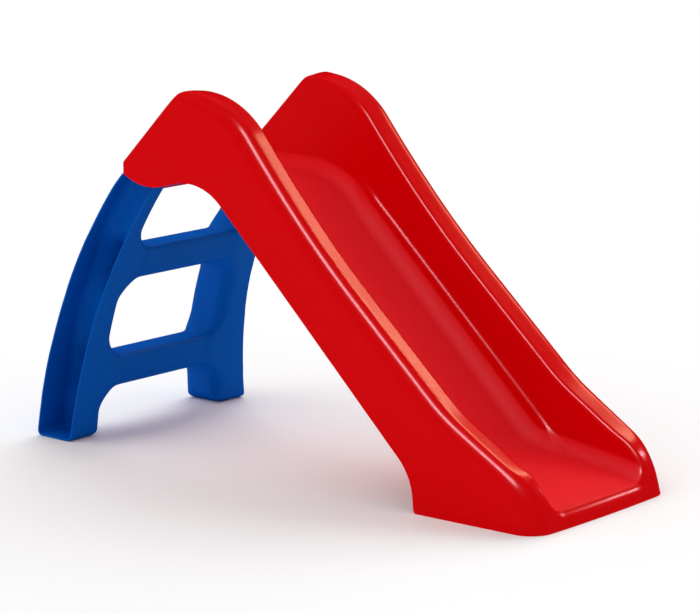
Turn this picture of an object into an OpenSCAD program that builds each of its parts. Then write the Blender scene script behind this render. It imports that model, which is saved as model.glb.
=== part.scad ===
// Toddler slide: one moulded chute that plugs over one moulded ladder and is screwed to it.
// Axes: +X downhill, +Y across the width, +Z up. The origin is on the floor under the middle.
// Side outlines are lists of corners: [distance behind the toe, height, corner radius].

/* [Chute] */
// Overall length, from the toe's bulge to the back of the ladder's feet
total_length = 1115; // [1100:1:1130]
// Width over the two side panels
chute_width = 398; // [392:1:402]
// Width of each rounded rim
rim_width = 63; // [58:1:66]
// Wall thickness of both mouldings
wall = 3.5; // [2.5:0.5:4]
// Height of the two hand-hold humps
hump_height = 661; // [655:1:668]
// Height of the platform that the child sits on
platform_height = 487; // [486:0.5:489]
// Radius of the two front corners, seen from above
front_corner = 42; // [30:1:50]
// How far the middle of the toe stands out past its corners
toe_bulge = 6; // [2:1:12]
// How far each kerb stands in from its side wall
kerb_width = 15; // [8:1:20]
// Number of stiffening ribs under the sliding floor
floor_ribs = 4; // [2:1:6]

/* [Ladder] */
// Half the distance between the inner faces of the two rails, above the lower rung
rail_inner = 150; // [146:1:156]
// How much further out each rail's web stands at the foot
rail_flare = 11; // [5:1:15]
// Half the width over the feet
foot_outer = 235; // [225:1:240]
// Half the width over the rails where they enter the chute
rail_top_outer = 183.5; // [180:0.5:188]
// Height of each rung
rung_height = 62; // [52:1:64]
// Depth of each rung from front to back
rung_depth = 60; // [50:1:64]
// Height of the top of the lower rung
lower_rung_top = 148; // [130:1:160]
// Height of the top of the upper rung
upper_rung_top = 357; // [350:1:362]
// Radius of the coves where the rungs meet the rails
cove = 36; // [20:1:40]

/* [Fixings] */
// Distance between neighbouring screws
screw_pitch = 80; // [60:5:85]
// Shank diameter of the screws
screw_d = 4; // [3.5:0.5:4.5]
// Length of the screws under the head
screw_length = 20; // [16:1:22]
// Diameter of the pan heads
head_d = 8; // [7:0.5:9]
// Outside diameter of the washers
washer_d = 11; // [10:0.5:12]

/* [Hidden] */
$fn = 64;
red = [0.80, 0.01, 0.03];
blue = [0.0, 0.18, 0.50];
steel = [0.70, 0.71, 0.73];
outer_y = chute_width / 2;
inner_y = outer_y - rim_width;
toe_x = total_length / 2 - toe_bulge;
reach = total_length - toe_bulge;
beyond = 60;
above = 900;

// The panel's lower back corner, and the 45 degree line of the hump's back edge.
lobe_back = 915;
lobe_low = 505;
hump_line = 1439;
// Rim line, from the lower back corner over the hump and down to the toe.
rim_corners = [
    [lobe_back, lobe_low, 0],
    [lobe_back, hump_line - lobe_back, 7],
    [hump_line - hump_height, hump_height, 34],
    [673, hump_height, 180],
    [511, 456, 1900],
    [194, 174.6, 400],
    [22, 70.5, 120],
    [1, 0, 0]
];
// Bottom edge of the side panels, from the toe back to the lobe.
panel_corners = [
    [245, 0, 0],
    [250.5, 61.7, 100],
    [722, 511.4, 115],
    [861, 478, 120],
    [lobe_back, lobe_low, 0]
];
// Upper face of the back flange, the platform, the sliding floor and the run-out.
floor_back = 905;
floor_corners = [
    [floor_back, 466, 0],
    [floor_back, platform_height, 6],
    [691, platform_height, 180],
    [242, 65, 95],
    [48, 38, 30],
    [-beyond, 6, 0]
];
// Upper edge of the low kerbs beside the sliding floor, closed well below it.
kerb_corners = [[700, 440, 0], [640, 484.5, 25], [203, 80.5, 25], [190, 40, 0]];
lip_depth = 14;
rib_depth = 8;
rib_first = 330;
rib_last = 600;

// Rail: both long edges are arcs, and the top is a stub that stands inside the hump.
back_radius = 793;
front_radius = 819;
front_centre = [201, -23];
shoulder = 502.5;
shoulder_back = 909;
stub_line = 1430;
stub_top = 598;
stub_front = 790;
foot_radius = 12;
rail_step = 25;
flare_height = 250;
spread_height = 520;
rung_setback = 5;
rung_radius = 12;
rung_web = 3;

// Top tie, a shallow open box under the platform's back edge.
tie_front = 873;
tie_back = 901;
tie_low = 472;
tie_top = platform_height - wall - 0.3;
screw_z = 476.8;
boss_d = 9;
fit_gap = 0.05;
hole_gap = 0.4;
washer_h = 1;
head_h = 2.8;
head_top_d = 4.5;
recess_w = 1;
recess_l = 4.5;
screw_y = [for (i = [0:3]) (i - 1.5) * screw_pitch];

// ---- outline helpers ----
function unit(v) = v / norm(v);
function left_of(v) = [-v[1], v[0]];
function turned(p, a) = [p[0] * cos(a) - p[1] * sin(a), p[0] * sin(a) + p[1] * cos(a)];
function joined(lists) = [for (l = lists) for (p = l) p];
function reversed(p) = [for (i = [len(p) - 1:-1:0]) p[i]];

// Arc that rounds corner b on the way from a to c; large radii get finer steps.
function corner_arc(a, b, c, r) =
    let (u = unit(a - b), v = unit(c - b), half = acos(u * v) / 2)
    let (side = sign(u[0] * v[1] - u[1] * v[0]), start = b + r / tan(half) * u)
    let (centre = start + side * r * left_of(u), sweep = -side * (180 - 2 * half))
    let (n = max(3, ceil(abs(sweep) * sqrt(r) / 60)))
    [for (i = [0:n]) centre + turned(start - centre, sweep * i / n)];

// Rounds the corners [x, z, radius] of a path whose two ends stay sharp.
function rounded(c) =
    let (p = [for (q = c) [q[0], q[1]]], n = len(c))
    joined([for (i = [0:n - 1])
        (i == 0 || i == n - 1 || c[i][2] == 0) ? [p[i]] : corner_arc(p[i - 1], p[i], p[i + 1], c[i][2])]);
// Rounds every corner of a closed loop.
function rounded_loop(c) =
    let (p = [for (q = c) [q[0], q[1]]], n = len(c))
    joined([for (i = [0:n - 1]) corner_arc(p[(i + n - 1) % n], p[i], p[(i + 1) % n], c[i][2])]);
// Corners measured behind the toe become corners along X.
function along(c) = [for (q = c) [toe_x - q[0], q[1], q[2]]];
// The same path moved by d to its right-hand side.
function beside(p, d) =
    let (n = len(p))
    [for (i = [0:n - 1])
        let (a = unit(p[max(i, 1)] - p[max(i, 1) - 1]), b = unit(p[min(i, n - 2) + 1] - p[min(i, n - 2)]))
        p[i] - d * (left_of(a) + left_of(b)) / (1 + a * b)];
function sheet(p, d0, d1) = concat(beside(p, d0), reversed(beside(p, d1)));

rim_line = rounded(along(rim_corners));
panel_line = rounded(along(panel_corners));
floor_line = rounded(along(floor_corners));
kerb_line = rounded(along(kerb_corners));

// Extrudes an outline in the XZ plane from y0 to y1.
module slab(points, y0, y1) {
    translate([0, y1, 0])
        rotate([90, 0, 0])
            linear_extrude(y1 - y0)
                polygon(points);
}

// Extrudes an outline in the YZ plane from x0 to x1.
module bar(points, x0, x1) {
    translate([x0, 0, 0])
        rotate([90, 0, 90])
            linear_extrude(x1 - x0)
                polygon(points);
}

module both_sides() {
    children();
    mirror([0, 1, 0]) children();
}

// ---- chute ----
// The chute seen from above, g inside its outer face: round front corners and a bulged toe.
module plan(g, top) {
    side = outer_y - g;
    nose = toe_x - g;
    bulge = [for (i = [-2:2]) [nose + toe_bulge * (1 - pow(i / 4, 2)), i * side / 4, 0]];
    outline = concat(
        [[-total_length, -side, 0], [nose, -side, front_corner - g]],
        bulge,
        [[nose, side, front_corner - g], [-total_length, side, 0]]
    );
    translate([0, 0, -g])
        linear_extrude(top + g)
            polygon(rounded(outline));
}

module side_box() {
    inside = beside(rim_line, wall);
    last = inside[len(inside) - 1];
    hollow = concat(inside, [[last[0], -beyond], [inside[0][0], -beyond]]);
    difference() {
        intersection() {
            slab(concat(rim_line, panel_line), inner_y, outer_y);
            plan(0, above);
        }
        intersection() {
            slab(hollow, inner_y + wall, outer_y - wall);
            plan(wall, above);
        }
    }
}

module floor_sheet() {
    intersection() {
        slab(sheet(floor_line, 0, wall), -inner_y - 1, inner_y + 1);
        plan(0, above);
    }
}

// The lip across the whole width and the low front face under it; they run round both front corners
// under the rims' noses.
module toe() {
    below_floor = concat(floor_line, [[toe_x + beyond, -beyond], [toe_x - floor_back, -beyond]]);
    intersection() {
        plan(0, above);
        translate([toe_x - lip_depth, -outer_y, 0])
            cube([lip_depth + toe_bulge, chute_width, platform_height]);
        union() {
            slab(sheet(floor_line, 0, wall), -outer_y, outer_y);
            difference() {
                slab(below_floor, -outer_y, outer_y);
                plan(wall, above);
            }
        }
    }
}

module kerb() {
    over_floor = concat(beside(floor_line, wall / 2), [[toe_x + beyond, above], [-toe_x, above]]);
    intersection() {
        slab(kerb_line, inner_y - kerb_width, inner_y + 1);
        slab(over_floor, 0, outer_y);
    }
}

module floor_rib(behind) {
    intersection() {
        slab(sheet(floor_line, 1, wall + rib_depth), -inner_y - 1, inner_y + 1);
        translate([toe_x - behind, -outer_y, 0])
            cube([wall, chute_width, hump_height]);
    }
}

module screw_hole(x, depth, gap) {
    translate([x, 0, 0])
        rotate([0, 90, 0])
            cylinder(d = screw_d + gap, h = depth);
}

module chute() {
    rib_gap = (rib_last - rib_first) / (floor_ribs - 1);
    color(red)
        difference() {
            union() {
                both_sides() side_box();
                both_sides() kerb();
                floor_sheet();
                toe();
                for (i = [0:floor_ribs - 1])
                    floor_rib(rib_first + i * rib_gap);
            }
            for (y = screw_y)
                translate([toe_x - floor_back - 1, y, screw_z])
                    screw_hole(0, wall + 2, hole_gap);
        }
}

// ---- ladder ----
function rail_back(z, g) = reach - back_radius + sqrt(pow(back_radius - g, 2) - z * z);
function rail_front(z, g) = front_centre[0] + sqrt(pow(front_radius + g, 2) - pow(z - front_centre[1], 2));
function foot_arc(centre, g, a0) = [for (i = [0:4])
    centre + (foot_radius - g) * [cos(a0 + i * 22.5), sin(a0 + i * 22.5)]];

// Outline of a rail in side view, g inside its faces, measured behind the toe.
function rail_outline(g) =
    let (shelf = shoulder - g, stub = stub_line - g * sqrt(2), low = foot_radius)
    let (heights = [for (z = [low + rail_step:rail_step:480]) z])
    let (front_foot = foot_arc([rail_front(low, 0) + low, low], g, 180))
    let (back_foot = foot_arc([reach - low, low], g, 270))
    concat(
        front_foot,
        back_foot,
        [for (z = heights) [rail_back(z, g), z]],
        [[rail_back(shelf, g), shelf], [shoulder_back - g, shelf]],
        [[shoulder_back - g, stub - shoulder_back + g], [stub - stub_top + g, stub_top - g]],
        [[stub_front + g, stub_top - 35], [rail_front(482, g), 482]],
        [for (z = reversed(heights)) [rail_front(z, g), z]]
    );
function placed(p) = [for (q = p) [toe_x - q[0], q[1]]];
// Half distances from the middle plane to a rail's web and to the edges of its flanges.
function web_y(z) = rail_inner + rail_flare * pow(max(1 - z / flare_height, 0), 2);
function flange_y(z) = rail_top_outer + (foot_outer - rail_top_outer) * pow(max(1 - z / spread_height, 0), 1.5);

// A rail from in front, its web moved out by g.
module rail_lean(g) {
    heights = [for (z = [0:50:500]) z];
    bar(
        concat(
            [for (z = heights) [web_y(z) + g, z]],
            [[rail_inner + g, above], [flange_y(above) + g, above]],
            [for (z = reversed(heights)) [flange_y(z) + g, z]]
        ),
        -total_length,
        total_length
    );
}

module rail() {
    difference() {
        intersection() {
            slab(placed(rail_outline(0)), rail_inner, foot_outer + 1);
            rail_lean(0);
        }
        intersection() {
            slab(placed(rail_outline(wall)), rail_inner, foot_outer + 2);
            rail_lean(wall);
        }
    }
}

// Corners of a rung's section, g inside its faces; it leans with the rails.
function rung_section(top, g) =
    let (low = top - rung_height, f = rung_setback + g, r = rung_radius - g)
    let (front_high = rail_front(top, 0) + f, front_low = rail_front(low, 0) + f)
    let (depth = rung_depth - 2 * g)
    rounded_loop(along([
        [front_high, top - g, r],
        [front_low, low + g, r],
        [front_low + depth, low + g, r],
        [front_high + depth, top - g, r]
    ]));

module rung_hollow(top) {
    both_sides()
        slab(rung_section(top, wall), rung_web / 2, web_y(top - rung_height) + wall + 1);
}

// Cove between a rung's face at height z and the rail's inner face; up is 1 above a rung, -1 below.
module rung_cove(z, up) {
    start = web_y(z) - cove;
    buried = web_y(z) + 0.7 * wall;
    section = concat(
        [[buried, z - up], [buried, z + up * cove]],
        [for (i = [0:8]) [start + cove * cos(i * 11.25), z + up * (cove - cove * sin(i * 11.25))]],
        [[start, z - up]]
    );
    front = rail_front(z, 0) + rung_setback + rung_radius / 2;
    both_sides()
        bar(section, toe_x - front - rung_depth + rung_radius, toe_x - front);
}

module rung(top) {
    reach_y = web_y(top) + 0.9 * wall;
    slab(rung_section(top, 0), -reach_y, reach_y);
    rung_cove(top, 1);
    rung_cove(top - rung_height, -1);
}

module top_tie() {
    span = 2 * (rail_inner + 1);
    size = [tie_back - tie_front, span, tie_top - tie_low];
    translate([toe_x - tie_back, -span / 2, tie_low])
        difference() {
            cube(size);
            translate([wall, wall, -1])
                cube(size - [2 * wall, 2 * wall, wall - 1]);
        }
    for (y = screw_y)
        translate([toe_x - tie_back + 1, y, screw_z])
            rotate([0, 90, 0])
                cylinder(d = boss_d, h = screw_length + 4);
}

module ladder() {
    color(blue)
        difference() {
            union() {
                both_sides() rail();
                rung(lower_rung_top);
                rung(upper_rung_top);
                top_tie();
            }
            rung_hollow(lower_rung_top);
            rung_hollow(upper_rung_top);
            for (y = screw_y)
                translate([toe_x - tie_back - 1, y, screw_z])
                    screw_hole(0, screw_length + 2, fit_gap);
        }
}

// ---- fixings ----
module ladder_screw() {
    head = [[0, 0], [head_d / 2, 0], [head_d / 2, head_h / 2], [head_top_d / 2, head_h], [0, head_h]];
    rotate([0, -90, 0])
        difference() {
            union() {
                rotate_extrude() polygon(head);
                translate([0, 0, -screw_length])
                    cylinder(d = screw_d, h = screw_length + 1);
            }
            for (a = [0, 90])
                rotate([0, 0, a])
                    translate([-recess_l / 2, -recess_w / 2, head_h - 1.6])
                        cube([recess_l, recess_w, 2]);
        }
}

module ladder_screws() {
    color(steel)
        for (y = screw_y)
            translate([toe_x - floor_back - washer_h, y, screw_z])
                ladder_screw();
}

module screw_washers() {
    color(steel)
        for (y = screw_y)
            translate([toe_x - floor_back - washer_h, y, screw_z])
                rotate([0, 90, 0])
                    difference() {
                        cylinder(d = washer_d, h = washer_h);
                        translate([0, 0, -1])
                            cylinder(d = screw_d + hole_gap, h = washer_h + 2);
                    }
}

chute();
ladder();
ladder_screws();
screw_washers();
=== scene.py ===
"""Toddler slide: a red moulded chute that plugs over a blue moulded ladder.

Both mouldings are thin shells. Each is described by a signed field in millimetres, negative inside
a solid of the same outside shape. The surface where the field is zero is meshed, cut along the
moulding's free edge and given its wall thickness. Lengths called "behind" run towards the ladder
from the corners of the toe, which stands a little further forward in its middle. Heights are above
the floor, and "side" is the distance from the middle plane.
"""
import math

import bpy
import numpy as np
from mathutils import Matrix, Vector


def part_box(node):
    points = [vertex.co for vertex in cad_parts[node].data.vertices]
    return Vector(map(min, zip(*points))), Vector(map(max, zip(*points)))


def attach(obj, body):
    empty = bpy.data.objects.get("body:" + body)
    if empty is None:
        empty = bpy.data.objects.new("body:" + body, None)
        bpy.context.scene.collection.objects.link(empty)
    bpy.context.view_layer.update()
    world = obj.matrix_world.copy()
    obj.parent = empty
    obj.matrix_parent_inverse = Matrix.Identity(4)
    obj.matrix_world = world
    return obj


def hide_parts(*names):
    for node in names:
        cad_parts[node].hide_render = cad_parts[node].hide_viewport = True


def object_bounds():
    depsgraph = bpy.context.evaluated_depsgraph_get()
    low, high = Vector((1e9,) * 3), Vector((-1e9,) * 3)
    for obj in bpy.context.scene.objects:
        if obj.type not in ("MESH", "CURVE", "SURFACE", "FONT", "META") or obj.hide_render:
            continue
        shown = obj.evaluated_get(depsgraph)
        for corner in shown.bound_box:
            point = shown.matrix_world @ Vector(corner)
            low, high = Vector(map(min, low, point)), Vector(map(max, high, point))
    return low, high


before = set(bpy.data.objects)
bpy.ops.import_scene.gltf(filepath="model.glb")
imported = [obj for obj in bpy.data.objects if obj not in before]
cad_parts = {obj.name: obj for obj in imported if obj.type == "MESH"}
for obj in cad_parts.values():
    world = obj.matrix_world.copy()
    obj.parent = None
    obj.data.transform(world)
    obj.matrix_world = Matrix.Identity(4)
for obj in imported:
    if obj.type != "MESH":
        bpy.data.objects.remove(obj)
cad_low, cad_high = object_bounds()

MM = 0.001
chute_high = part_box("chute")[1]
ladder_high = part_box("ladder")[1]

# ---- dimensions in millimetres ----
# FAR is well past the chute's ends and below it; CEILING is above its floor.
FAR = 300.0
CEILING = 600
WALL = 3.5
# A free edge is rounded in this many strips and ends this far past where the skin is cut.
EDGE_STEPS = 6
EDGE_ROUND = 1

# The chute's outside.
TOE_BULGE = 6.0
TOE_X = cad_high.x / MM - TOE_BULGE
OUTER_Y = 200
TOE_TAPER = 9.5
TAPER_LENGTH = 230
HUMP_HEIGHT = chute_high.z / MM
HUMP_LINE = 1439
LOBE_BACK = 915
LOBE_LOW = 505
RIM_CREST = 178
RIM_CREST_WIDTH = 12
RIM_REACH = 60
RIM_SLOPE = 0.11
RIM_LIFT = 1.5
# The radius along the chute's sides, then what the back slope and the toe add to it.
OUTER_ROUND = (26, -18, 14)
INNER_ROUND = (9, -4, 3)

# The trough, with a kerb along each side of its floor.
INNER_Y = 135.5
PLATFORM = 487
FLANGE_BACK = 905
FLANGE_FRONT = 850
FLANGE_LOW = 466
WALL_DRAFT = 0.07
DRAFT_HEIGHT = 100
DRAFT_START = 50
DRAFT_DEPTH = 140
KERB_END = [203, 80.5]
KERB_START = [640, 484.5]
KERB_Y = 120
KERB_LEAN = 0.2
KERB_FADE = 14
KERB_ROUND = 3.5
LEDGE_FILLET = 8
FLOOR_FILLET = 26
INTO_SKIN = 0.7 * WALL

# Where a change sets in and where it is complete: behind the toe, then sideways, then above the floor.
BULGE_GROWS = (120, 40)
TOE_ROUNDS = (75, 15)
TILT_GROWS = (30, 90)
RIM_LIFTS = (640, 540)
KERB_FADES = (600, 670)
BACK_SHARPENS = (735, 805)
PANEL_STARTS = (131, 140)
# The floor band of the trough mask, which dulls the skin as from rubbing and paints it paler as painted
# light.
RUBBED_AND_LIT = (27, 19)

# Side views. Corners are [behind, height, radius], and the solid lies on the left of each path.
RIM = [
    [LOBE_BACK, -FAR, 0],
    [LOBE_BACK, HUMP_LINE - LOBE_BACK, 7],
    [HUMP_LINE - HUMP_HEIGHT, HUMP_HEIGHT, 34],
    [673, HUMP_HEIGHT, 180],
    [511, 456, 1900],
    [194, 174.6, 400],
    [22, 70.5, 120],
    [-88, -FAR, 0],
]
PANEL = [
    [-FAR, 0, 0],
    [245, 0, 0],
    [250.5, 63.2, 100],
    [722, 512.9, 115],
    [861, 478, 120],
    [LOBE_BACK, LOBE_LOW, 0],
    [LOBE_BACK + FAR, LOBE_LOW, 0],
]
FLOOR = [
    [FLANGE_BACK, -FAR, 0],
    [FLANGE_BACK, PLATFORM, 6],
    [691, PLATFORM, 180],
    [242, 65, 95],
    [48, 38, 30],
    [-60, 6, 0],
]

# Ribs under the floor, between two places on the slope.
FLOOR_RIBS = 4
RIB_FIRST = 330
RIB_LAST = 600
RIB_DEPTH = 8
RIB_REACH = 119
RIB_POINTS = 45

# The ladder's rails lie between two arcs, given as [behind, height, radius].
BACK_ARC = [317.5, 0, 793]
FRONT_ARC = [202, -23, 819]
RAIL_INNER = 144
RAIL_FLARE = 11
FLARE_HEIGHT = 250
FOOT_OUTER = ladder_high.y / MM
FOOT_ROUND = 12
RAIL_TOP_OUTER = 183.5
SPREAD_HEIGHT = 520
RAIL_ROUND = 24
OUTLINE_ROUND = 3
SHOULDER = 502.5
SHOULDER_BACK = 909
STUB_LINE = 1430
STUB_TOP = 598

# The rungs, and the tie under the platform: middle, half depth and half height.
RUNG_TOPS = [146.5, 356.5]
RUNG_HEIGHT = 62
RUNG_DEPTH = 62
RUNG_SETBACK = 4
RUNG_ROUND = 12
RUNG_COVE = 45
RUNG_WEB = 3
WEB_ROUND = 10
WEB_POINTS = 32
TIE_MIDDLE = [887, 479]
TIE_HALF = [14, 4.2]
TIE_ROUND = 3
TIE_FILLET = 8


# ---- fields ----
def smooth(t):
    """0 below 0, 1 above 1, and an even S between."""
    t = np.clip(t, 0, 1)
    return t * t * (3 - 2 * t)


def ease(value, start, end):
    """0 up to the start, 1 from the end on."""
    return smooth((value - start) / (end - start))


def soft_ramp(t, width):
    """A ramp whose slope grows from 0 to 1 over the first part of it."""
    return np.where(t < width, t * t / (2 * width), t - width / 2)


def swell(distance, length, most, power):
    """1 at no distance, falling to 0 at the length; it may grow past 1 on the other side."""
    return np.clip(1 - distance / length, 0, most) ** power


def round_max(a, b, radius):
    """Common part of two solids, with its convex edge rounded."""
    corner = np.hypot(np.maximum(radius + a, 0), np.maximum(radius + b, 0))
    return np.minimum(-radius, np.maximum(a, b)) + corner


def round_min(a, b, radius):
    """Two solids joined, with a fillet in the angle between them."""
    return -round_max(-a, -b, radius)


def unit(v):
    return v / np.linalg.norm(v)


def halved(solid_at, low, high, rounds):
    """Heights just inside and just outside a solid, from two heights that lie on either side."""
    for _ in range(rounds):
        middle = (low + high) / 2
        solid = solid_at(middle)
        low, high = np.where(solid, middle, low), np.where(solid, high, middle)
    return low, high


class Path:
    """A line through rounded corners; side() is the distance from it, negative on its left."""

    def __init__(self, corners):
        points = [np.array(c[:2], float) for c in corners]
        self.lines, self.arcs = [], []
        start = points[0]
        for i in range(1, len(corners) - 1):
            back, ahead = unit(points[i - 1] - points[i]), unit(points[i + 1] - points[i])
            half = math.acos(float(back @ ahead)) / 2
            reach = corners[i][2] / math.tan(half)
            self.lines.append((start, points[i] + reach * back))
            start = points[i] + reach * ahead
            if corners[i][2]:
                middle = unit(back + ahead)
                turn = math.copysign(1, back[1] * ahead[0] - back[0] * ahead[1])
                centre = points[i] + corners[i][2] / math.sin(half) * middle
                self.arcs.append((centre, corners[i][2], -middle, math.pi / 2 - half, turn))
        self.lines.append((start, points[-1]))

    def side(self, u, v):
        u, v = np.broadcast_arrays(u, v)
        nearest = np.full(u.shape, np.inf)
        for a, b in self.lines:
            length = np.linalg.norm(b - a)
            along = (b - a) / length
            du, dv = u - a[0], v - a[1]
            t = np.clip(du * along[0] + dv * along[1], 0, length)
            distance = np.hypot(du - t * along[0], dv - t * along[1])
            signed = np.where(along[0] * dv - along[1] * du > 0, -distance, distance)
            nearest = np.where(distance < np.abs(nearest), signed, nearest)
        for centre, radius, middle, half_sweep, turn in self.arcs:
            du, dv = u - centre[0], v - centre[1]
            far = np.hypot(du, dv)
            signed = turn * (far - radius)
            inside = du * middle[0] + dv * middle[1] >= far * math.cos(half_sweep)
            nearest = np.where(inside & (np.abs(signed) < np.abs(nearest)), signed, nearest)
        return nearest

    def height(self, u, low, high):
        """Where the path crosses u, between two heights."""
        low, high = np.full(u.shape, float(low)), np.full(u.shape, float(high))
        low, high = halved(lambda middle: self.side(u, middle) < 0, low, high, 24)
        return (low + high) / 2


rim_path, panel_path, floor_path = Path(RIM), Path(PANEL), Path(FLOOR)
KERB_WAY = unit(np.array(KERB_START) - KERB_END)


def side_radius(sizes, behind):
    along, back_slope, toe = sizes
    return along + back_slope * ease(behind, *BACK_SHARPENS) + toe * ease(behind, *TOE_ROUNDS)


def chute_body(behind, side, z):
    """Below the rim, whose top slopes down to the trough, and within the side panels."""
    taper = TOE_TAPER * swell(behind, TAPER_LENGTH, 1.3, 1.2)
    inward = soft_ramp(np.clip(RIM_CREST - side, 0, RIM_REACH), RIM_CREST_WIDTH)
    tilt = RIM_SLOPE * inward * ease(behind, *TILT_GROWS)
    rim = rim_path.side(behind, z) + tilt - RIM_LIFT * ease(behind, *RIM_LIFTS)
    return round_max(rim, side - OUTER_Y + taper, side_radius(OUTER_ROUND, behind))


def around_trough(behind, side, z):
    """Below the floor, beyond the trough's walls, or within the kerbs, which fade out at the top."""
    floor = floor_path.side(behind, z)
    below = soft_ramp(np.clip(DRAFT_HEIGHT - floor, 0, DRAFT_DEPTH), DRAFT_START)
    wall = INNER_Y - WALL_DRAFT * below - side
    lean = KERB_LEAN * np.clip(floor, -20, 60)
    kerb_side = KERB_Y + lean - side + KERB_FADE * ease(behind, *KERB_FADES)
    above_kerb = (z - KERB_END[1]) * KERB_WAY[0] - (behind - KERB_END[0]) * KERB_WAY[1]
    kerb = round_max(kerb_side, above_kerb, KERB_ROUND)
    return round_min(floor, round_min(wall, kerb, LEDGE_FILLET), FLOOR_FILLET)


def chute_parts(behind, y, z):
    """The chute's body; what is left around the trough; and the radius of the edge between them."""
    side = np.abs(y)
    bulge = TOE_BULGE * np.maximum(1 - (side / OUTER_Y) ** 2, 0)
    behind = behind + bulge * ease(behind, *BULGE_GROWS)
    return chute_body(behind, side, z), around_trough(behind, side, z), side_radius(INNER_ROUND, behind)


def chute_field(p):
    body, around, radius = chute_parts(TOE_X - p[..., 0], p[..., 1], p[..., 2])
    return round_max(body, around, radius)


def chute_edge(p):
    """Negative where the chute's skin is kept. It stops short by what the rounded edge adds."""
    behind, side, z = TOE_X - p[..., 0], np.abs(p[..., 1]), p[..., 2]
    well_inside = -20
    flange = np.maximum(np.where(behind > FLANGE_FRONT, FLANGE_LOW - z, well_inside), -z)
    panel = ease(side, *PANEL_STARTS)
    return flange * (1 - panel) + panel_path.side(behind, z) * panel + EDGE_ROUND


def ladder_outline(behind, z, past_front):
    """The rails in side view: two arcs, rounded feet, and a stub that reaches up into the hump."""
    past_back = np.hypot(behind - BACK_ARC[0], z - BACK_ARC[1]) - BACK_ARC[2]
    arcs = round_max(np.maximum(past_back, past_front), -z, FOOT_ROUND)
    stub = np.maximum((behind + z - STUB_LINE) / math.sqrt(2), z - STUB_TOP)
    shoulder = np.minimum(z - SHOULDER, behind - SHOULDER_BACK)
    return round_max(arcs, np.maximum(stub, shoulder), OUTLINE_ROUND)


def ladder_field(p):
    behind, side, z = TOE_X - p[..., 0], np.abs(p[..., 1]), p[..., 2]
    past_front = FRONT_ARC[2] - np.hypot(behind - FRONT_ARC[0], z - FRONT_ARC[1])
    outline = ladder_outline(behind, z, past_front)
    web = RAIL_INNER + RAIL_FLARE * swell(z, FLARE_HEIGHT, 1.1, 2)
    solid = round_max(outline, web - side, RAIL_ROUND)
    half_depth, half_height = RUNG_DEPTH / 2, RUNG_HEIGHT / 2
    for top in RUNG_TOPS:
        across = np.abs(past_front + RUNG_SETBACK + half_depth) - half_depth
        up = np.abs(z - top + half_height) - half_height
        solid = round_min(solid, round_max(across, up, RUNG_ROUND), RUNG_COVE)
    solid = round_max(solid, outline, OUTLINE_ROUND)
    across, up = np.abs(behind - TIE_MIDDLE[0]) - TIE_HALF[0], np.abs(z - TIE_MIDDLE[1]) - TIE_HALF[1]
    return round_min(solid, round_max(across, up, TIE_ROUND), TIE_FILLET)


def ladder_edge(p):
    """Negative where the ladder's skin is kept: its flanges spread towards the feet."""
    spread = (FOOT_OUTER - RAIL_TOP_OUTER) * swell(p[..., 2], SPREAD_HEIGHT, 1.1, 1.5)
    return np.abs(p[..., 1]) - (RAIL_TOP_OUTER + spread) + EDGE_ROUND


# ---- meshing ----
# Points closer to the free edge than this part of a grid cell move onto it.
SNAP = 0.35


def gradient(field, p, step=0.05):
    out = np.empty_like(p)
    for axis in range(3):
        offset = np.zeros(3)
        offset[axis] = step
        out[:, axis] = (field(p + offset) - field(p - offset)) / (2 * step)
    return out


def normals_of(field, p):
    slope = gradient(field, p)
    return slope / np.linalg.norm(slope, axis=1)[:, None]


def settle(field, p, rounds=4):
    """Moves points straight onto the surface."""
    for _ in range(rounds):
        slope = gradient(field, p)
        p = p - (field(p) / np.maximum((slope * slope).sum(1), 1e-6))[:, None] * slope
    return p


def settle_on_edge(field, edge, p, rounds=5):
    """Slides points along the surface onto its free edge."""
    for _ in range(rounds):
        normal = normals_of(field, p)
        slope = gradient(edge, p)
        slope -= (slope * normal).sum(1)[:, None] * normal
        size = np.maximum((slope * slope).sum(1), 1e-4)
        p = settle(field, p - (edge(p) / size)[:, None] * slope, 1)
    return settle(field, p, 1)


def cells_beside(hit, axis, dp, dq, cells):
    """The cell on one side of each crossed grid edge, and whether it lies within the grid."""
    cell = hit.copy()
    cell[:, (axis + 1) % 3] += dp
    cell[:, (axis + 2) % 3] += dq
    return cell, ((cell >= 0) & (cell < np.array(cells))).all(1)


def crossed_edges(values, axis):
    """Grid edges along one axis that cross the surface, how far along each, and which leave the solid."""
    low = [slice(None)] * 3
    high = [slice(None)] * 3
    low[axis], high[axis] = slice(0, -1), slice(1, None)
    a, b = values[tuple(low)], values[tuple(high)]
    hit = np.argwhere((a < 0) != (b < 0))
    a, b = a[tuple(hit.T)], b[tuple(hit.T)]
    return hit, a / (a - b), a < 0


def net(values, place):
    """Surface net: one vertex in each grid cell that the surface crosses, one quad on each crossed edge."""
    cells = tuple(n - 1 for n in values.shape)
    total, count = np.zeros(cells + (3,)), np.zeros(cells)
    crossings = [crossed_edges(values, axis) for axis in range(3)]
    for axis, (hit, along, _) in enumerate(crossings):
        where = hit.astype(float)
        where[:, axis] += along
        for dp, dq in ((-1, -1), (-1, 0), (0, -1), (0, 0)):
            cell, good = cells_beside(hit, axis, dp, dq, cells)
            np.add.at(total, tuple(cell[good].T), where[good])
            np.add.at(count, tuple(cell[good].T), 1)
    used = count > 0
    number = np.full(cells, -1)
    number[used] = np.arange(used.sum())
    points = place(total[used] / count[used][:, None])
    faces = []
    for axis, (hit, _, outward) in enumerate(crossings):
        corners = []
        for dp, dq in ((-1, -1), (0, -1), (0, 0), (-1, 0)):
            cell, good = cells_beside(hit, axis, dp, dq, cells)
            safe = np.where(good[:, None], cell, 0)
            corners.append(np.where(good, number[tuple(safe.T)], -1))
        quads = np.stack(corners, 1)
        quads[~outward] = quads[~outward, ::-1]
        faces.append(quads[(quads >= 0).all(1)])
    return points, np.concatenate(faces)


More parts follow.
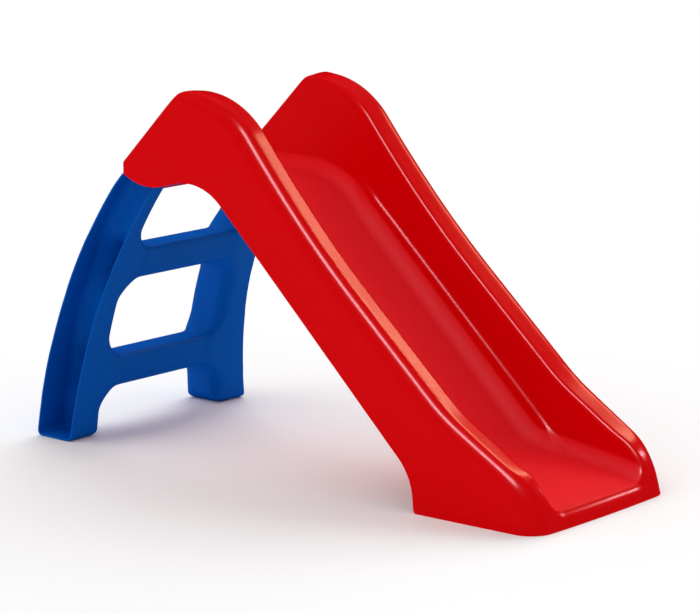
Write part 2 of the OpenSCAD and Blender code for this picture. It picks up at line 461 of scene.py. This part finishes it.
def trimmed(field, edge, points, quads, cell):
    """Cuts the faces along the free edge."""
    beyond = edge(points)
    close = np.abs(beyond) < SNAP * cell
    points[close] = settle_on_edge(field, edge, points[close])
    beyond[close] = 0
    keep = (beyond[quads] < 0).any(1)
    whole = keep & (beyond[quads] <= 0).all(1)
    faces = [list(q) for q in quads[whole]]
    extra, number = [], {}

    def cut(a, b):
        key = (min(a, b), max(a, b))
        if key not in number:
            number[key] = len(points) + len(extra)
            t = beyond[a] / (beyond[a] - beyond[b])
            extra.append(points[a] + t * (points[b] - points[a]))
        return number[key]

    for quad in quads[keep & ~whole]:
        face = []
        for a, b in zip(quad, np.roll(quad, -1)):
            if beyond[a] <= 0:
                face.append(int(a))
            if beyond[a] * beyond[b] < 0:
                face.append(cut(int(a), int(b)))
        if len(face) > 2:
            faces.append(face)
    if extra:
        points = np.concatenate([points, settle_on_edge(field, edge, np.array(extra))])
    used = np.unique(np.concatenate([np.array(f) for f in faces]))
    renumber = np.full(len(points), -1)
    renumber[used] = np.arange(len(used))
    return points[used], [[int(renumber[i]) for i in f] for f in faces]


def rim_edges(faces):
    """Edges that only one face uses, in that face's direction."""
    seen = set()
    for face in faces:
        for a, b in zip(face, face[1:] + face[:1]):
            if (b, a) in seen:
                seen.remove((b, a))
            else:
                seen.add((a, b))
    return sorted(seen)


def outer_skin(field, edge, axes, shear):
    """Vertices and faces of the moulding's outer surface, out to its free edge."""

    def place(index):
        u, v, w = (np.interp(index[..., i], np.arange(len(axes[i])), axes[i]) for i in range(3))
        return shear(u, v, w)

    grid = np.stack(np.meshgrid(*[np.arange(len(a)) for a in axes], indexing="ij"), -1)
    points, quads = net(field(place(grid)), place)
    across = points[quads[:, 2]] - points[quads[:, 0]]
    flat = np.cross(across, points[quads[:, 3]] - points[quads[:, 1]])
    if (flat * gradient(field, points)[quads[:, 0]]).sum() < 0:
        quads = quads[:, ::-1]
    spacing = min(np.diff(a).min() for a in axes)
    return trimmed(field, edge, settle(field, points), quads, spacing)


def edge_rings(edge, at, out, wall):
    """Rows of points, and their normals, round the free edge from the outer surface to the inner."""
    over = gradient(edge, at)
    over -= (over * out).sum(1)[:, None] * out
    over /= np.maximum(np.linalg.norm(over, axis=1), 1e-6)[:, None]
    rings, normals = [], []
    for k in range(1, EDGE_STEPS):
        angle = math.pi * k / EDGE_STEPS
        c, s = math.cos(angle), math.sin(angle)
        spread = math.copysign(abs(c) ** 0.5, c)
        rings.append(at + wall / 2 * (spread - 1) * out + EDGE_ROUND * s**0.5 * over)
        normals.append(c * out + s * over)
    return rings, normals


def shell(field, edge, axes, shear, wall):
    """Vertices, faces and vertex normals of a moulding of even wall thickness."""
    points, faces = outer_skin(field, edge, axes, shear)
    normal = normals_of(field, points)
    count = len(points)
    open_edges = rim_edges(faces)
    border = sorted({i for e in open_edges for i in e})
    order = {v: i for i, v in enumerate(border)}
    rings, ring_normals = edge_rings(edge, points[border], normal[border], wall)

    def column(v):
        between = [2 * count + k * len(border) + order[v] for k in range(len(rings))]
        return [v] + between + [v + count]

    inner = [[i + count for i in reversed(f)] for f in faces]
    strip = []
    for a, b in open_edges:
        here, there = column(a), column(b)
        for k in range(EDGE_STEPS):
            strip.append([there[k], here[k], here[k + 1], there[k + 1]])
    vertices = np.concatenate([points, points - wall * normal] + rings)
    normals = np.concatenate([normal, -normal] + ring_normals)
    return vertices, faces + inner + strip, normals


def mesh_object(name, vertices, faces, normals=None):
    mesh = bpy.data.meshes.new(name)
    mesh.from_pydata((np.asarray(vertices) * MM).tolist(), [], faces)
    mesh.shade_smooth()
    if normals is not None:
        mesh.normals_split_custom_set_from_vertices(np.asarray(normals).tolist())
    piece = bpy.data.objects.new(name, mesh)
    bpy.context.scene.collection.objects.link(piece)
    return piece


def stops(*stretches):
    """Grid lines: each stretch is (start, end, spacing)."""
    lines = []
    for start, end, spacing in stretches:
        lines.extend(np.linspace(start, end, max(1, round((end - start) / spacing)), endpoint=False))
    return np.array(lines + [stretches[-1][1]])


def both_ways(lines):
    """Grid lines on both sides of the middle plane."""
    return np.concatenate([-lines[::-1], lines])


# ---- pieces ----
def make_chute():
    behind = stops((-13, 60, 3.2), (60, 760, 5.6), (760, 922, 4.6))
    y = both_ways(stops((4, 76, 8), (76, 148, 2.7), (148, 166, 4.5), (166, 205, 2.9)))
    up = stops((-75, -8, 6), (-8, 46, 2.7), (46, 190, 5))
    level_from = 880
    floor_height = floor_path.height(np.minimum(behind, level_from), 0, CEILING)

    def shear(u, v, w):
        """The grid's levels follow the floor, and stay level past the platform's end."""
        return np.stack([TOE_X - u, v, w + np.interp(u, behind, floor_height)], -1)

    vertices, faces, normals = shell(chute_field, chute_edge, [behind, y, up], shear, WALL)
    piece = mesh_object("chute_shell", vertices, faces, normals)
    x, y, z = vertices.T
    _, around, _ = chute_parts(TOE_X - x, y, z)
    # Mask along the trough floor: it dulls the skin as from rubbing and carries a paler colour painted on
    # as painted light for the light falling on the floor.
    near_floor = ease(floor_path.side(TOE_X - x, z), *RUBBED_AND_LIT)
    rubbed_and_lit = (near_floor * (np.abs(around) < 1)).astype(np.float32)
    piece.data.attributes.new("rubbed_and_lit", "FLOAT", "POINT").data.foreach_set("value", rubbed_and_lit)
    return piece


def make_ladder():
    across = stops((-112, 8, 3.4))
    y = both_ways(stops((4, 120, 9), (120, 172, 2.9), (172, 242, 5)))
    up = stops((-6, 26, 2.8), (26, 606, 3.8))

    def shear(u, v, w):
        """The grid's columns follow the back of the rails."""
        back = BACK_ARC[0] + np.sqrt(BACK_ARC[2] ** 2 - (w - BACK_ARC[1]) ** 2)
        return np.stack([TOE_X - u - back, v, w], -1)

    return mesh_object("ladder_shell", *shell(ladder_field, ladder_edge, [across, y, up], shear, WALL))


def plate(outline, low_y, high_y):
    """A flat plate of constant thickness; outline is a loop of [x, z] points."""
    count = len(outline)
    vertices = [[x, y, z] for y in (low_y, high_y) for x, z in outline]
    faces = [list(range(count)), list(range(2 * count - 1, count - 1, -1))]
    for i in range(count):
        j = (i + 1) % count
        faces.append([j, i, i + count, j + count])
    return vertices, faces


def joined(parts):
    """One list of vertices and faces from several."""
    vertices, faces = [], []
    for part_vertices, part_faces in parts:
        faces += [[i + len(vertices) for i in f] for f in part_faces]
        vertices += part_vertices
    return vertices, faces


def skin_under(behind, y):
    """Height within the trough's skin, a little nearer its underside."""
    at = np.full(y.shape, float(behind))
    floor = floor_path.height(at, 0, CEILING)
    surface_low, _ = halved(lambda z: chute_parts(at, y, z)[1] < 0, floor - 8, floor + 24, 20)
    return surface_low - INTO_SKIN


def floor_rib(behind):
    """A cross rib whose top follows the underside of the trough."""
    y = np.linspace(-RIB_REACH, RIB_REACH, RIB_POINTS)
    drop = (WALL + RIB_DEPTH) / math.cos(math.atan(KERB_WAY[1] / KERB_WAY[0]))
    vertices = []
    for back in (behind, behind + WALL):
        top = skin_under(back, y)
        vertices += [[TOE_X - back, a, b] for a, b in zip(y, top)]
        vertices += [[TOE_X - back, a, top.min() - drop + WALL] for a in y]
    faces = []
    for i in range(RIB_POINTS - 1):
        for first, second in ((0, 1), (1, 3), (3, 2), (2, 0)):
            p, q = first * RIB_POINTS + i, second * RIB_POINTS + i
            faces.append([p, p + 1, q + 1, q])
    start, end = ([k * RIB_POINTS + i for k in (0, 1, 3, 2)] for i in (0, RIB_POINTS - 1))
    return vertices, faces + [start[::-1], end]


def make_ribs():
    places = np.linspace(RIB_FIRST, RIB_LAST, FLOOR_RIBS)
    return mesh_object("chute_ribs", *joined([floor_rib(p) for p in places]))


def rung_web(top):
    """The plate that closes the middle of a hollow rung; its outline lies within the rung's skin."""
    flat_depth = RUNG_DEPTH / 2 - WALL / 2 - WEB_ROUND
    flat_height = RUNG_HEIGHT / 2 - WALL / 2 - WEB_ROUND
    outline = []
    for i in range(WEB_POINTS):
        angle = math.tau * (i + 0.5) / WEB_POINTS
        c, s = math.cos(angle), math.sin(angle)
        z = top - RUNG_HEIGHT / 2 + math.copysign(flat_height, s) + WEB_ROUND * s
        front = FRONT_ARC[0] + math.sqrt(FRONT_ARC[2] ** 2 - (z - FRONT_ARC[1]) ** 2)
        middle = front + RUNG_SETBACK + RUNG_DEPTH / 2
        outline.append([TOE_X - middle - math.copysign(flat_depth, c) - WEB_ROUND * c, z])
    return plate(outline, -RUNG_WEB / 2, RUNG_WEB / 2)


def make_rung_webs():
    return mesh_object("rung_webs", *joined([rung_web(top) for top in RUNG_TOPS]))


# ---- materials ----
def surface(name, colour, dark, painted_lit_colour, roughness, specular, metallic=0, grain=35):
    """Faint mottling of the colour and a slightly uneven skin. Where the trough mask attribute is set, the
    skin is duller, as from rubbing, and a paler colour is painted on as painted light for the light falling
    on the trough floor.
    """
    material = bpy.data.materials.new(name)
    material.use_nodes = True
    nodes, links = material.node_tree.nodes, material.node_tree.links
    shader = nodes["Principled BSDF"]
    shader.inputs["Metallic"].default_value = metallic
    shader.inputs["Specular IOR Level"].default_value = specular
    place = nodes.new("ShaderNodeTexCoord").outputs["Object"]
    rubbed_and_lit = nodes.new("ShaderNodeAttribute")
    rubbed_and_lit.attribute_name = "rubbed_and_lit"

    def noise(scale, detail):
        texture = nodes.new("ShaderNodeTexNoise")
        texture.inputs["Scale"].default_value = scale
        texture.inputs["Detail"].default_value = detail
        links.new(place, texture.inputs["Vector"])
        return texture.outputs["Fac"]

    def spread(value, low, high):
        ramp = nodes.new("ShaderNodeMapRange")
        ramp.inputs["To Min"].default_value = low
        ramp.inputs["To Max"].default_value = high
        links.new(value, ramp.inputs["Value"])
        return ramp.outputs["Result"]

    def blend(other, factor):
        mix = nodes.new("ShaderNodeMix")
        mix.data_type = "RGBA"
        mix.inputs["B"].default_value = (*other, 1)
        links.new(factor, mix.inputs["Factor"])
        return mix

    mottled = blend(colour, noise(9, 3))
    mottled.inputs["A"].default_value = (*dark, 1)
    paler = blend(painted_lit_colour, rubbed_and_lit.outputs["Fac"])
    links.new(mottled.outputs["Result"], paler.inputs["A"])
    links.new(paler.outputs["Result"], shader.inputs["Base Color"])

    total = nodes.new("ShaderNodeMath")
    total.operation = "ADD"
    links.new(spread(noise(60, 4), roughness - 0.03, roughness + 0.03), total.inputs[0])
    links.new(spread(rubbed_and_lit.outputs["Fac"], 0, 0.5), total.inputs[1])
    links.new(total.outputs["Value"], shader.inputs["Roughness"])

    bump = nodes.new("ShaderNodeBump")
    bump.inputs["Strength"].default_value = 0.01
    bump.inputs["Distance"].default_value = 0.0008
    links.new(noise(grain, 2), bump.inputs["Height"])
    links.new(bump.outputs["Normal"], shader.inputs["Normal"])
    return material


RED = surface(
    "red_plastic",
    colour=(0.74, 0.0, 0.002),
    dark=(0.68, 0.0, 0.002),
    # Paler red for the trough floor: painted light, standing in for the light falling on it.
    painted_lit_colour=(0.81, 0.0, 0.006),
    roughness=0.2,
    specular=0.08,
)
BLUE = surface(
    "blue_plastic",
    colour=(0.0, 0.10, 0.50),
    dark=(0.0, 0.09, 0.44),
    painted_lit_colour=(0.0, 0.11, 0.5),
    roughness=0.34,
    specular=0.03,
)
STEEL = surface(
    "zinc_steel",
    colour=(0.62, 0.63, 0.65),
    dark=(0.5, 0.51, 0.53),
    painted_lit_colour=(0.7, 0.7, 0.7),
    roughness=0.4,
    specular=0.5,
    metallic=0.35,
    grain=900,
)


def add(piece, material, node=None):
    if node:
        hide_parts(node)
    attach(piece, "root")
    piece.data.materials.clear()
    piece.data.materials.append(material)


add(make_chute(), RED, "chute")
add(make_ribs(), RED)
add(make_ladder(), BLUE, "ladder")
add(make_rung_webs(), BLUE)
for name in ("ladder_screws", "screw_washers"):
    steel_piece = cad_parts[name]
    steel_piece.data.materials.clear()
    steel_piece.data.materials.append(STEEL)


# ---- floor, lights and camera ----
def make_floor():
    reach = 30000
    corners = [[-reach, -reach, 0], [reach, -reach, 0], [reach, reach, 0], [-reach, reach, 0]]
    floor = mesh_object("floor", corners, [[0, 1, 2, 3]])
    material = bpy.data.materials.new("floor_paint")
    material.use_nodes = True
    shader = material.node_tree.nodes["Principled BSDF"]
    shader.inputs["Base Color"].default_value = (0.95, 0.95, 0.95, 1)
    shader.inputs["Roughness"].default_value = 1
    shader.inputs["Specular IOR Level"].default_value = 0
    floor.data.materials.append(material)
    floor.visible_glossy = False


def reflected_lamp(name, aim, way, distance, along, size, power, colour):
    """A rectangular lamp that shows only as a reflection. It stands out along "way" from its aim,
    with its long side following "along"."""
    data = bpy.data.lights.new(name, "AREA")
    data.shape = "RECTANGLE"
    data.size, data.size_y = size
    data.energy = power
    data.color = colour
    lamp = bpy.data.objects.new(name, data)
    back = Vector(way).normalized()
    side = (Vector(along) - Vector(along).dot(back) * back).normalized()
    up = back.cross(side)
    lamp.rotation_euler = Matrix((side, up, back)).transposed().to_euler()
    lamp.location = Vector(aim) + distance * back
    lamp.visible_diffuse = False
    bpy.context.scene.collection.objects.link(lamp)


def soft_sun(way, strength):
    """Broad, soft light that leaves no reflection."""
    data = bpy.data.lights.new("soft_sun", "SUN")
    data.energy = strength
    data.angle = math.radians(50)
    lamp = bpy.data.objects.new("soft_sun", data)
    lamp.rotation_euler = Vector(way).to_track_quat("Z", "Y").to_euler()
    lamp.visible_glossy = False
    bpy.context.scene.collection.objects.link(lamp)


def make_world():
    world = bpy.data.worlds.new("studio")
    world.use_nodes = True
    background = world.node_tree.nodes["Background"]
    background.inputs["Color"].default_value = (1, 1, 1, 1)
    background.inputs["Strength"].default_value = 0.65
    world.cycles_visibility.glossy = False
    world.cycles.sampling_method = "NONE"
    bpy.context.scene.world = world
    bpy.context.scene.view_settings.view_transform = "Standard"


def make_camera():
    data = bpy.data.cameras.new("camera")
    data.sensor_width = 36
    data.lens = 147.1
    data.clip_end = 100
    camera = bpy.data.objects.new("camera", data)
    camera.location = (TOE_X * MM + 2.6455, -3.7579, 1.291)
    camera.rotation_euler = (math.radians(78.4), 0, math.radians(40.4))
    bpy.context.scene.collection.objects.link(camera)
    bpy.context.scene.camera = camera


make_floor()
# The lines along the rims, the kerb and the lip, in metres and watts.
reflected_lamp(
    "front_strip",
    aim=(0.4, 0, 0.14),
    way=(0.29, -0.36, 0.87),
    distance=1.5,
    along=(0.735, 0, -0.68),
    size=(1.15, 0.35),
    power=108,
    colour=(1, 0.7, 0.78),
)
reflected_lamp(
    "back_strip",
    aim=(0.11, -0.17, 0.39),
    way=(0.11, 0.855, 0.505),
    distance=1.92,
    along=(0.39, 0, -0.92),
    size=(0.55, 0.3),
    power=8.2,
    colour=(1, 0.7, 0.45),
)
reflected_lamp(
    "lip_spark",
    aim=(0.53, 0, 0.03),
    way=(0.26, 0.79, 0.44),
    distance=1.3,
    along=(0, 1, 0),
    size=(0.25, 0.1),
    power=3.6,
    colour=(1, 0.8, 0.86),
)
soft_sun((-0.3, 0.6, 0.74), 1.3)
soft_sun((-0.5, -0.5, 0.7), 0.5)
make_world()
make_camera()
